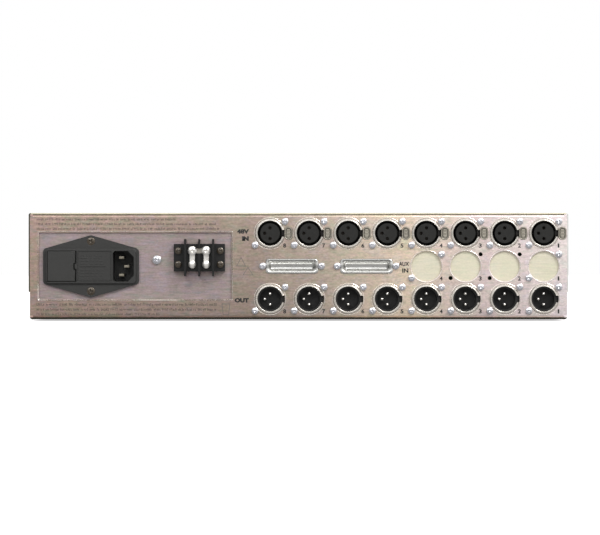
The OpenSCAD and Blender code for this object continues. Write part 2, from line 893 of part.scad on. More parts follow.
module circuit_boards() {
    color("darkgreen") {
        // main board
        difference() {
            translate([-208, 30, main_board_z]) cube([268, 242, board_t]);
            for (p = standoff_at) translate([p[0], p[1], main_board_z - far])
                cylinder(h = 4, r = m3_clear);
        }
        // power supply board
        difference() {
            translate([75, 176, main_board_z]) cube([130, 96, board_t]);
            for (p = standoff_at) translate([p[0], p[1], main_board_z - far])
                cylinder(h = 4, r = m3_clear);
        }
        // board that carries the XLR connectors
        translate([-212, board_y, -38]) cube([252, board_t, 76]);
        // control board behind the front wall
        difference() {
            translate([-212, control_board_y, -36]) cube([372, board_t, 74]);
            front_view() each_channel() translate([0, gain_z, 0])
                slab(-control_board_y - board_t - far, -control_board_y + far) circle(4);
        }
    }
}

module board_standoffs() {
    color("silver") for (p = standoff_at) translate([p[0], p[1], 0]) {
        translate([0, 0, floor_z]) cylinder(h = board_lift, r = 3, $fn = 6);
        translate([0, 0, case_bot + 0.2]) cylinder(h = tray_t, r = m3_r);
        translate([0, 0, main_board_z - 0.1]) cylinder(h = board_t + 0.2, r = m3_r);
        translate([0, 0, main_board_z + board_t]) cylinder(h = 2, r = 2.8);
    }
}

// Potted amplifier modules, one per channel.
module channel_modules() {
    deck = main_board_z + board_t;
    color([0.15, 0.15, 0.2]) for (k = [1:channels])
        translate([-xlr_x(k), 150, deck]) slab(0, 16) round_rect([24, 62], 1.5);
}

module capacitors() {
    deck = main_board_z + board_t;
    color("midnightblue") {
        for (x = [96, 124, 152, 180]) translate([x, 212, deck]) cylinder(h = 32, r = 11);
        for (k = [1:channels], y = [90, 215]) translate([-xlr_x(k), y, deck])
            cylinder(h = 14, r = 5);
    }
}

module transformer() {
    color("goldenrod") translate([toroid_pos[0], toroid_pos[1], floor_z + 1.5])
        rotate_extrude() translate([(toroid_r + 15) / 2, toroid_h / 2])
            round_rect([toroid_r - 15, toroid_h], 8);
}

// Rubber pads, dished washer and bolt that hold the transformer down.
module transformer_clamp() {
    top = floor_z + 1.5 + toroid_h;
    color("silver") translate([toroid_pos[0], toroid_pos[1], 0]) {
        translate([0, 0, floor_z]) difference() {
            cylinder(h = 1.5, r = 36);
            translate([0, 0, -far]) cylinder(h = 4, r = 3.1);
        }
        translate([0, 0, top]) difference() {
            cylinder(h = 2, r = 30);
            translate([0, 0, -far]) cylinder(h = 4, r = 3.1);
        }
        translate([0, 0, case_bot + 0.2]) cylinder(h = top + 8 - case_bot, r = 3);
        translate([0, 0, top + 2]) difference() {
            cylinder(h = 5, r = 5.6, $fn = 6);
            translate([0, 0, -far]) cylinder(h = 8, r = 3.05);
        }
    }
}

module shield_wall() {
    color("silver") {
        translate([shield_x, 28, floor_z]) cube([1.2, 246, 78]);
        translate([shield_x, 28, floor_z]) cube([9, 246, 1.2]);
    }
}

// An eight-sided wire that runs straight from point to point, each stretch turned a little
// about its own axis.
module wire(points, r) {
    for (i = [0:len(points) - 2]) {
        d = points[i + 1] - points[i];
        translate(points[i]) rotate([0, acos(d[2] / norm(d)), atan2(d[1], d[0])])
            rotate(17 * i) translate([0, 0, -r / 2]) cylinder(h = norm(d) + r, r = r, $fn = 8);
    }
}

module wiring() {
    inlet_x = -inlet_pos[0] - socket_x - blade_at[0][0];
    // mains leads: inlet to power switch, power switch to transformer
    color("saddlebrown") for (s = [-1, 1]) {
        wire([[inlet_x, 262.5, inlet_pos[1] + 7 * s], [inlet_x, 256, inlet_pos[1] + 7 * s],
              [204, 244 - 4 * s, 5 * s], [204, 40, 5 * s], [187 + 3 * s, 23.5, 5 * s]], 1.2);
        wire([[187 + 3 * s, 25, -12], [187 + 3 * s, 36, -12],
              [toroid_pos[0] + 4 * s, 54, -24], [toroid_pos[0] + 4 * s, 63.5, -24]], 1.2);
    }
    // secondary leads: transformer to power supply board
    color("firebrick") for (x = [-9, -3, 3, 9])
        wire([[toroid_pos[0] + x, 153.2, -20], [toroid_pos[0] + x, 162, -20],
              [toroid_pos[0] + x, 181, main_board_z + board_t + 1.2]], 1.2);
    // ribbon cables between the boards
    color("lightgray") for (x = [-150, -40]) {
        translate([x, control_board_y + board_t, -22]) cube([40, 10, 1]);
        translate([x, control_board_y + board_t + 9, -29.4]) cube([40, 1, 8.4]);
        translate([x, 268, -20]) cube([40, board_y - 268, 1]);
        translate([x, 267, -29.4]) cube([40, 1, 10.4]);
    }
}

// ---------------------------------------------------------------- assembly

chassis_tray();
top_cover();
rear_panel();
front_panel();
power_plate();
blanking_strip();
dsub_covers();
xlr_female_shells();
xlr_female_inserts();
xlr_male_shells();
xlr_male_inserts();
xlr_contacts();
rear_screws();
inlet_housing();
inlet_blades();
power_plate_screws();
terminal_block();
terminal_plates();
terminal_screws();
ground_link();
case_screws();
gain_switches();
phantom_switches();
power_switch_frame();
indicator_leds();
circuit_boards();
channel_modules();
capacitors();
transformer();
transformer_clamp();
board_standoffs();
shield_wall();
wiring();
fuse_drawer();
fuses();
power_rocker();
for (k = [1:channels]) {
    latch_tab(k);
    gain_knob(k);
    phantom_button(k);
}
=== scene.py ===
"""Looks of the microphone preamp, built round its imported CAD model.

Everything is in the row frame: X right from the front, +Y to the connector panel, Z up.
Sizes are in millimetres up to the point where a mesh is made.
"""

import json
import math
import random

import bmesh
import bpy
from mathutils import Matrix, Vector


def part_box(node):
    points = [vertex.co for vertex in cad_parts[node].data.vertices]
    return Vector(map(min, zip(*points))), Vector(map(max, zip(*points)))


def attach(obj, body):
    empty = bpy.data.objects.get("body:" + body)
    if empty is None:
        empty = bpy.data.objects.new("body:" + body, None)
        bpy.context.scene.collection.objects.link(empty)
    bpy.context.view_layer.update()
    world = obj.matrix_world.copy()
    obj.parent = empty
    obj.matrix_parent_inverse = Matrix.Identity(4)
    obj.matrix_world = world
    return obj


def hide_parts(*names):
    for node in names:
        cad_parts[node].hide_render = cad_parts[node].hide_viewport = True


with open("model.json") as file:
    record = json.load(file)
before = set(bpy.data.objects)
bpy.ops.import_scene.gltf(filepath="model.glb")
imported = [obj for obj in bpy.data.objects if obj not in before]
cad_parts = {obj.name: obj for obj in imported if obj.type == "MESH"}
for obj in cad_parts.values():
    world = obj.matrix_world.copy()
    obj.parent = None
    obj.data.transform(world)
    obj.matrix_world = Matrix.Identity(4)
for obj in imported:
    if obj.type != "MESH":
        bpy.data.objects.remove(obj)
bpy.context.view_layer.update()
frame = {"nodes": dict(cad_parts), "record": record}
nodes = frame["nodes"]
SLOTS = {s["node"]: s["material_slot"] for s in frame["record"]["subparts"]}

MM = 0.001
CHANNELS = range(1, 9)
SPARES = range(1, 5)     # channels with an unused hole between their two connectors


def extent(node, side, axis):
    """Where a CAD node's box begins (side 0) or ends (side 1) along an axis, in mm."""
    return round(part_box(node)[side][axis] / MM, 2)


def middle(node, axis):
    return round((extent(node, 0, axis) + extent(node, 1, axis)) / 2, 2)


# Behind: x and y as seen from behind, z out from the connector panel.
DEPTH = extent("rear_panel", 1, 1)
PLATE_Z = round(extent("power_plate", 1, 1) - DEPTH, 2)    # outer face of the power plate
XLR_ROW = middle("latch_tab_1", 2)    # height of the inputs; the outputs mirror it
XLR_FIRST = 196.3
XLR_PITCH = 31.3
D_SCREW = (12.0, 9.5)    # from a connector's middle to its screws
TAB_X = 14.8             # from an input's middle to its latch tab
INLET = (-middle("inlet_housing", 0), middle("inlet_housing", 2))
INLET_SCREW = 20.0       # from the inlet's middle to its screws
STRIP = (-middle("terminal_block", 0), middle("terminal_block", 2))
STRIP_PITCH = 11.15
POST_DY = 5.4            # from the strip's middle to its screws
EARTH = (-113.4, 5.0)    # earth screw
DSUB_X = (-5.2, 54.4)
DSUB_SCREW = 23.52       # from a cover's middle to its screws
HOLE_R = 12.0            # connector holes of the panel
# The panel's window: where its middle is, width and height.
WINDOW = (-middle("power_plate", 0), middle("power_plate", 2), 154.0, 53.2)

# In front: x and y as seen from the front, z out from the case.
CHANNEL_X = {k: middle(f"gain_knob_{k}", 0) for k in CHANNELS}
FACE_T = -extent("front_panel", 0, 1)
GAIN_Z = middle("gain_knob_1", 2)
BUTTON_Z = middle("phantom_button_1", 2)
LED_Z = 33.0
POWER_X = middle("power_rocker", 0)
ROCKER_TILT = math.radians(8)    # of the rocker at rest, about its pivot

PLAIN, THIN, BOLD = 0.055, 0.035, 0.075    # weights of the lettering
INK_DEPTH = 0.05         # thickness of the lettering
INK_Z = 0.02             # its middle, above the printed face
PRINT = (-0.02, 0.03)    # how far plain printed strokes reach into and out of a face
FLANK = extent("top_cover", 1, 0) * MM - 0.0017    # beyond it only the case's sides lie
LOWEST = extent("front_panel", 0, 2) * MM


def xlr_x(k):
    return XLR_FIRST - XLR_PITCH * (k - 1)


# ---------------------------------------------------------------- placing

def shift(x, y, z=0.0):
    return Matrix.Translation((x, y, z))


def rear(x=0.0, y=0.0, z=0.0, turn=0.0):
    """Matrix from a piece drawn as seen from behind, in mm, to the row frame."""
    axes = Matrix(((-1, 0, 0, 0), (0, 0, 1, DEPTH), (0, 1, 0, 0), (0, 0, 0, 1)))
    return Matrix.Scale(MM, 4) @ axes @ shift(x, y, z) @ Matrix.Rotation(turn, 4, "Z")


def front(x=0.0, y=0.0, z=0.0, turn=0.0):
    """Matrix from a piece drawn as seen from the front, in mm, to the row frame."""
    axes = Matrix(((1, 0, 0, 0), (0, 0, -1, 0), (0, 1, 0, 0), (0, 0, 0, 1)))
    return Matrix.Scale(MM, 4) @ axes @ shift(x, y, z) @ Matrix.Rotation(turn, 4, "Z")


# ---------------------------------------------------------------- meshes

class Shape:
    """Points and faces of one closed solid or more, in mm."""

    def __init__(self):
        self.points = []
        self.faces = []

    def add(self, other, matrix=Matrix.Identity(4)):
        start = len(self.points)
        self.points += [matrix @ Vector(p) for p in other.points]
        self.faces += [tuple(i + start for i in f) for f in other.faces]
        return self


def loft(rings, closed=False):
    """Skins a row of rings that have equally many points. Ends are capped unless closed."""
    shape = Shape()
    n = len(rings[0])
    for ring in rings:
        shape.points += [Vector(p) for p in ring]
    pairs = len(rings) if closed else len(rings) - 1
    for i in range(pairs):
        a, b = i * n, (i + 1) % len(rings) * n
        for j in range(n):
            k = (j + 1) % n
            shape.faces.append((a + j, a + k, b + k, b + j))
    if not closed:
        shape.faces.append(tuple(reversed(range(n))))
        shape.faces.append(tuple(range((len(rings) - 1) * n, len(rings) * n)))
    return shape


def lathe(profile, n=48):
    """Solid turned about Z from a profile of (radius, z)."""
    turns = [2 * math.pi * i / n for i in range(n)]
    return loft([[(r * math.cos(a), r * math.sin(a), z) for a in turns] for r, z in profile])


def ring_lathe(section, n=64):
    """Ring turned about Z from a closed section of (radius, z)."""
    turns = [2 * math.pi * i / n for i in range(n)]
    return loft([[(r * math.cos(a), r * math.sin(a), z) for r, z in section] for a in turns],
                closed=True)


def part_ring(section, gap, n=60):
    """Ring with an opening of gap radians to each side of the +X axis."""
    turns = [gap + (2 * math.pi - 2 * gap) * i / n for i in range(n + 1)]
    return loft([[(r * math.cos(a), r * math.sin(a), z) for r, z in section] for a in turns])


def round_rect(w, h, r, z, n=5):
    points = []
    for cx, cy, a0 in ((1, 1, 0), (-1, 1, 90), (-1, -1, 180), (1, -1, 270)):
        for i in range(n + 1):
            a = math.radians(a0 + 90 * i / n)
            points.append((cx * (w / 2 - r) + r * math.cos(a),
                           cy * (h / 2 - r) + r * math.sin(a), z))
    return points


def pillow(w, h, r, z0, z1, edge, n=5):
    """A flat bar with a rounded top edge."""
    rings = [round_rect(w, h, r, z0, n)]
    for i in range(4):
        a = math.radians(30 * i)
        inset = edge * (1 - math.cos(a))
        z = z1 - edge + edge * math.sin(a)
        rings.append(round_rect(w - 2 * inset, h - 2 * inset, max(r - inset, 0.02), z, n))
    return loft(rings)


def make(name, shape, material, body="case", replaces=(), smooth=35):
    """Turns a Shape into a piece that rides on body. Edges sharper than smooth degrees stay
    sharp."""
    mesh = bpy.data.meshes.new(name)
    mesh.from_pydata([tuple(p) for p in shape.points], [], shape.faces)
    work = bmesh.new()
    work.from_mesh(mesh)
    bmesh.ops.recalc_face_normals(work, faces=work.faces)
    for f in work.faces:
        f.smooth = True
    for e in work.edges:
        if len(e.link_faces) == 2 and e.calc_face_angle(0) > math.radians(smooth):
            e.smooth = False
    work.to_mesh(mesh)
    work.free()
    mesh.materials.append(material)
    obj = bpy.data.objects.new(name, mesh)
    bpy.context.scene.collection.objects.link(obj)
    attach(obj, body)
    if replaces:
        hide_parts(*replaces)


def cut(solid, tool):
    """solid less tool, both Shapes."""
    made = []
    for s in (solid, tool):
        mesh = bpy.data.meshes.new("work")
        mesh.from_pydata([tuple(p) for p in s.points], [], s.faces)
        work = bmesh.new()
        work.from_mesh(mesh)
        bmesh.ops.recalc_face_normals(work, faces=work.faces)
        work.to_mesh(mesh)
        work.free()
        obj = bpy.data.objects.new("work", mesh)
        bpy.context.scene.collection.objects.link(obj)
        made.append(obj)
    mod = made[0].modifiers.new("cut", "BOOLEAN")
    mod.operation = "DIFFERENCE"
    mod.solver = "EXACT"
    mod.object = made[1]
    result = bpy.data.meshes.new_from_object(
        made[0].evaluated_get(bpy.context.evaluated_depsgraph_get()))
    shape = Shape()
    shape.points = [v.co.copy() for v in result.vertices]
    shape.faces = [tuple(p.vertices) for p in result.polygons]
    for obj in made:
        bpy.data.objects.remove(obj)
    bpy.data.meshes.remove(result)
    return shape


def lettering(text, height, width=None, weight=PLAIN):
    """Printed characters, centred on the origin, as tall as height and, if given, as wide as
    width. weight thickens the strokes."""
    curve = bpy.data.curves.new("work", "FONT")
    curve.body = text
    curve.align_x = "CENTER"
    curve.align_y = "CENTER"
    curve.size = 1.0
    curve.offset = weight
    curve.extrude = 0.5
    curve.resolution_u = 3
    obj = bpy.data.objects.new("work", curve)
    bpy.context.scene.collection.objects.link(obj)
    mesh = bpy.data.meshes.new_from_object(
        obj.evaluated_get(bpy.context.evaluated_depsgraph_get()))
    work = bmesh.new()
    work.from_mesh(mesh)
    bmesh.ops.remove_doubles(work, verts=work.verts, dist=1e-5)
    work.to_mesh(mesh)
    work.free()
    low = [min(v.co[i] for v in mesh.vertices) for i in (0, 1)]
    high = [max(v.co[i] for v in mesh.vertices) for i in (0, 1)]
    sy = height / (high[1] - low[1])
    sx = width / (high[0] - low[0]) if width else sy
    shape = Shape()
    for v in mesh.vertices:
        shape.points.append(Vector(((v.co.x - (low[0] + high[0]) / 2) * sx,
                                    (v.co.y - (low[1] + high[1]) / 2) * sy, v.co.z * INK_DEPTH)))
    shape.faces = [tuple(p.vertices) for p in mesh.polygons]
    bpy.data.objects.remove(obj)
    bpy.data.meshes.remove(mesh)
    return shape


def bar(x0, y0, x1, y1, z0, z1):
    return loft([[(x0, y0, z), (x1, y0, z), (x1, y1, z), (x0, y1, z)] for z in (z0, z1)])


# ---------------------------------------------------------------- materials

class Nodes:
    """Short names for building a node tree."""

    def __init__(self, tree):
        self.tree = tree

    def new(self, kind, **values):
        node = self.tree.nodes.new(kind)
        for key, value in values.items():
            if key in node.inputs:
                self.put(node.inputs[key], value)
            else:
                setattr(node, key, value)
        return node

    def put(self, socket, value):
        if isinstance(value, bpy.types.NodeSocket):
            self.tree.links.new(value, socket)
        else:
            socket.default_value = value

    def maths(self, operation, a, b=0.0, c=0.0, clamp=False):
        node = self.tree.nodes.new("ShaderNodeMath")
        node.operation = operation
        node.use_clamp = clamp
        for socket, value in zip(node.inputs, (a, b, c)):
            self.put(socket, value)
        return node.outputs[0]

    def axis(self, vector, i):
        return self.new("ShaderNodeSeparateXYZ", Vector=vector).outputs[i]

    def shade(self, value):
        return self.new("ShaderNodeCombineColor", Red=value, Green=value, Blue=value).outputs[0]

    def span(self, value, low, high, to_low=0.0, to_high=1.0):
        """Maps low to high onto to_low to to_high, without going past either end."""
        node = self.new("ShaderNodeMapRange", Value=value)
        ends = {"From Min": low, "From Max": high, "To Min": to_low, "To Max": to_high}
        for key, end in ends.items():
            node.inputs[key].default_value = end
        return node.outputs[0]

    def mix(self, factor, a, b, blend="MIX"):
        node = self.tree.nodes.new("ShaderNodeMix")
        node.data_type = "RGBA"
        node.blend_type = blend
        self.put(node.inputs[0], factor)
        self.put(node.inputs[6], a)
        self.put(node.inputs[7], b)
        return node.outputs[2]

    def ramp(self, value, stops):
        node = self.tree.nodes.new("ShaderNodeValToRGB")
        self.put(node.inputs[0], value)
        ramp = node.color_ramp
        for i, (spot, colour) in enumerate(stops):
            element = ramp.elements[i] if i < 2 else ramp.elements.new(spot)
            element.position = spot
            element.color = colour if len(colour) == 4 else (*colour, 1)
        return node.outputs[0]

    def noise(self, where, scale, stretch=(1, 1, 1), detail=3.0, rough=0.55):
        place = self.new("ShaderNodeMapping", Vector=where)
        place.inputs["Scale"].default_value = [scale * s for s in stretch]
        tex = self.new("ShaderNodeTexNoise", Vector=place.outputs[0])
        tex.inputs["Scale"].default_value = 1.0
        tex.inputs["Detail"].default_value = detail
        tex.inputs["Roughness"].default_value = rough
        return tex.outputs["Fac"]


def grey(v):
    return (v, v, v, 1)


def material(name, colour, metallic=0.0, rough=0.5, spread=0.10, grain=900, stretch=(1, 1, 1),
             bump=0.10, soil=0.12, edge=0.15, coat=0.0, specular=0.5, see_through=0.0,
             glow=0.0, base=None):
    """Procedural finish: fine grain in colour, roughness and height, broad soiling, and a
    shading that rounds edges by edge mm. base(nodes, where) paints the colour underneath."""
    made = bpy.data.materials.new(name)
    made.use_nodes = True
    n = Nodes(made.node_tree)
    shader = made.node_tree.nodes["Principled BSDF"]
    where = n.new("ShaderNodeTexCoord").outputs["Object"]
    fine = n.noise(where, grain, stretch)
    broad = n.noise(where, 28, detail=4, rough=0.6)
    patch = n.noise(where, 190, detail=2)
    ground = base(n, where) if base else (*colour, 1)
    light = n.maths("MULTIPLY_ADD", fine, 2 * spread, 1 - spread)
    tone = n.mix(1.0, ground, n.shade(light), "MULTIPLY")
    dirt = n.ramp(broad, ((0.35, grey(1 - soil)), (0.62, grey(1))))
    tone = n.mix(1.0, tone, dirt, "MULTIPLY")
    worn = n.maths("MULTIPLY", n.maths("SUBTRACT", patch, 0.5), 0.25)
    rougher = n.maths("ADD", n.maths("MULTIPLY_ADD", fine, 0.2, rough - 0.1), worn, clamp=True)
    smooth_edge = n.new("ShaderNodeBevel", samples=4)
    smooth_edge.inputs["Radius"].default_value = edge * MM
    relief = n.new("ShaderNodeBump", Strength=1.0, Height=fine, Normal=smooth_edge.outputs[0])
    relief.inputs["Distance"].default_value = bump * MM * 0.3
    n.put(shader.inputs["Base Color"], tone)
    n.put(shader.inputs["Roughness"], rougher)
    n.put(shader.inputs["Normal"], relief.outputs[0])
    shader.inputs["Metallic"].default_value = metallic
    shader.inputs["Specular IOR Level"].default_value = specular
    shader.inputs["Coat Weight"].default_value = coat
    shader.inputs["Coat Roughness"].default_value = 0.15
    shader.inputs["Transmission Weight"].default_value = see_through
    if glow:
        shader.inputs["Emission Color"].default_value = (*colour, 1)
        shader.inputs["Emission Strength"].default_value = glow
    return made


def contact_base(n, where):
    """Silver pins in the lower row; sockets in the upper row painted near black as painted shade in
    their holes.
    """
    upper = n.maths("GREATER_THAN", n.axis(where, 2), 0.005)
    return n.mix(upper, (0.92, 0.90, 0.86, 1), (0.035, 0.03, 0.026, 1))


def sheet_base(face, top, left, right):
    """Plated sheet whose sheared ends, which point along Y, get painted light and shade: one
    shade at the top or bottom, and others at the left and right seen from behind."""
    def build(n, where):
        normal = n.new("ShaderNodeNewGeometry").outputs["True Normal"]
        ends = n.maths("GREATER_THAN", n.maths("ABSOLUTE", n.axis(normal, 1)), 0.8)
        x = n.axis(where, 0)
        shade = n.mix(n.maths("GREATER_THAN", x, FLANK), (*top, 1), (*left, 1))
        shade = n.mix(n.maths("LESS_THAN", x, -FLANK), shade, (*right, 1))
        return n.mix(ends, (*face, 1), shade)
    return build


def mottle(n, where, colour, streaks, grain, tints):
    """Short level brushing, a fine grain and clouds of faint rainbow tints over a colour."""
    clouds = n.ramp(n.noise(where, 110, (0.6, 1, 1.2), detail=4, rough=0.65), (
        (0.30, (0.88, 1.01, 0.95)), (0.42, (1.02, 1.00, 0.93)), (0.52, (1.06, 0.95, 0.97)),
        (0.62, (0.97, 0.97, 1.09)), (0.74, (1.04, 1.01, 0.93))))
    flecks = n.ramp(n.noise(where, 420, (0.3, 1, 1.5), detail=2), (
        (0.34, (0.80, 0.90, 0.86)), (0.46, (1.02, 1.00, 0.95)), (0.56, (1.04, 0.98, 1.04)),
        (0.68, (1.18, 1.12, 1.14))))
    brushing = n.ramp(n.noise(where, 1, (60, 60, 1300), detail=3, rough=0.7), (
        (0.32, grey(1 - streaks)), (0.68, grey(1 + streaks))))
    specks = n.ramp(n.noise(where, 900, (0.6, 1, 1), detail=2), (
        (0.3, grey(1 - grain)), (0.7, grey(1 + grain))))
    for amount, layer in ((tints, clouds), (tints, flecks), (1.0, brushing), (1.0, specks)):
        colour = n.mix(amount, colour, layer, "MULTIPLY")
    return colour


def panel_base(n, where):
    """Plating that runs from tan, at the left seen from behind, to pale cream: partly its own
    tint, partly a painted gradient of light that grows to the right. It is a little lighter
    towards the top, as painted light from above, and on the fold along its lower edge, as a
    painted highlight."""
    x = n.axis(where, 0)
    z = n.axis(where, 2)
    run = n.maths("MULTIPLY_ADD", x, -1 / 0.4318, 0.5)
    colour = n.ramp(run, (
        (0.0, (0.36, 0.29, 0.245)), (0.42, (0.335, 0.285, 0.24)), (0.55, (0.455, 0.40, 0.335)),
        (0.70, (0.675, 0.59, 0.465)), (0.82, (0.64, 0.56, 0.53)), (1.0, (0.75, 0.69, 0.685))))
    rise = n.maths("MULTIPLY_ADD", z, 3.2, 0.98)
    fold = n.maths("MULTIPLY_ADD", z, -700.0, -0.0388 * 700, clamp=True)
    lit = n.shade(n.maths("MULTIPLY_ADD", fold, 0.55, rise))
    tints = n.maths("MULTIPLY_ADD", run, -0.65, 1.0)
    return mottle(n, where, n.mix(1.0, colour, lit, "MULTIPLY"), 0.06, 0.14, tints)


def brushed_base(colour, streaks, grain, tints):
    """Brushed plating of one colour."""
    def build(n, where):
        return mottle(n, where, (*colour, 1), streaks, grain, tints)
    return build


def pad_base(n, where):
    """Dark plating, bright on the raised marks and the rim."""
    proud = n.maths("GREATER_THAN", n.axis(where, 1), (DEPTH + 0.52) * MM)
    return n.mix(proud, (0.13, 0.12, 0.10, 1), (0.50, 0.465, 0.39, 1))


def ring_base(n, where):
    """Nickel with painted shade on the lead-in of each connector's bore, bright outside it."""
    pitches = n.maths("DIVIDE", n.maths("ADD", n.axis(where, 0), XLR_FIRST * MM), XLR_PITCH * MM)
    off = n.maths("SUBTRACT", pitches, n.maths("ROUND", pitches))
    across = n.maths("MULTIPLY", off, XLR_PITCH)
    up = n.maths("MULTIPLY_ADD", n.maths("ABSOLUTE", n.axis(where, 2)), 1 / MM, -XLR_ROW)
    place = n.new("ShaderNodeCombineXYZ", X=across, Y=up).outputs[0]
    radius = n.new("ShaderNodeVectorMath", operation="LENGTH", Vector=place).outputs["Value"]
    return n.mix(n.span(radius, 9.95, 10.25), (0.16, 0.15, 0.13, 1), (0.80, 0.76, 0.70, 1))


def tin_base(n, where):
    """Bright tin with painted shade along the middle of the pressing and under its upper edge,
    and painted highlights between.
    """
    up = n.span(n.axis(where, 2), -0.007, 0.007)
    shades = ((0.13, 0.60), (0.20, 0.70), (0.30, 1.0), (0.36, 0.75), (0.41, 0.43), (0.49, 0.40),
              (0.55, 0.50), (0.65, 0.85), (0.73, 0.70), (0.81, 0.24), (0.90, 0.36))
    return n.ramp(up, [(spot, (v, v, 0.97 * v)) for spot, v in shades])


LINES = (0.02, 0.02, 2.0)    # grain drawn out along the sheet
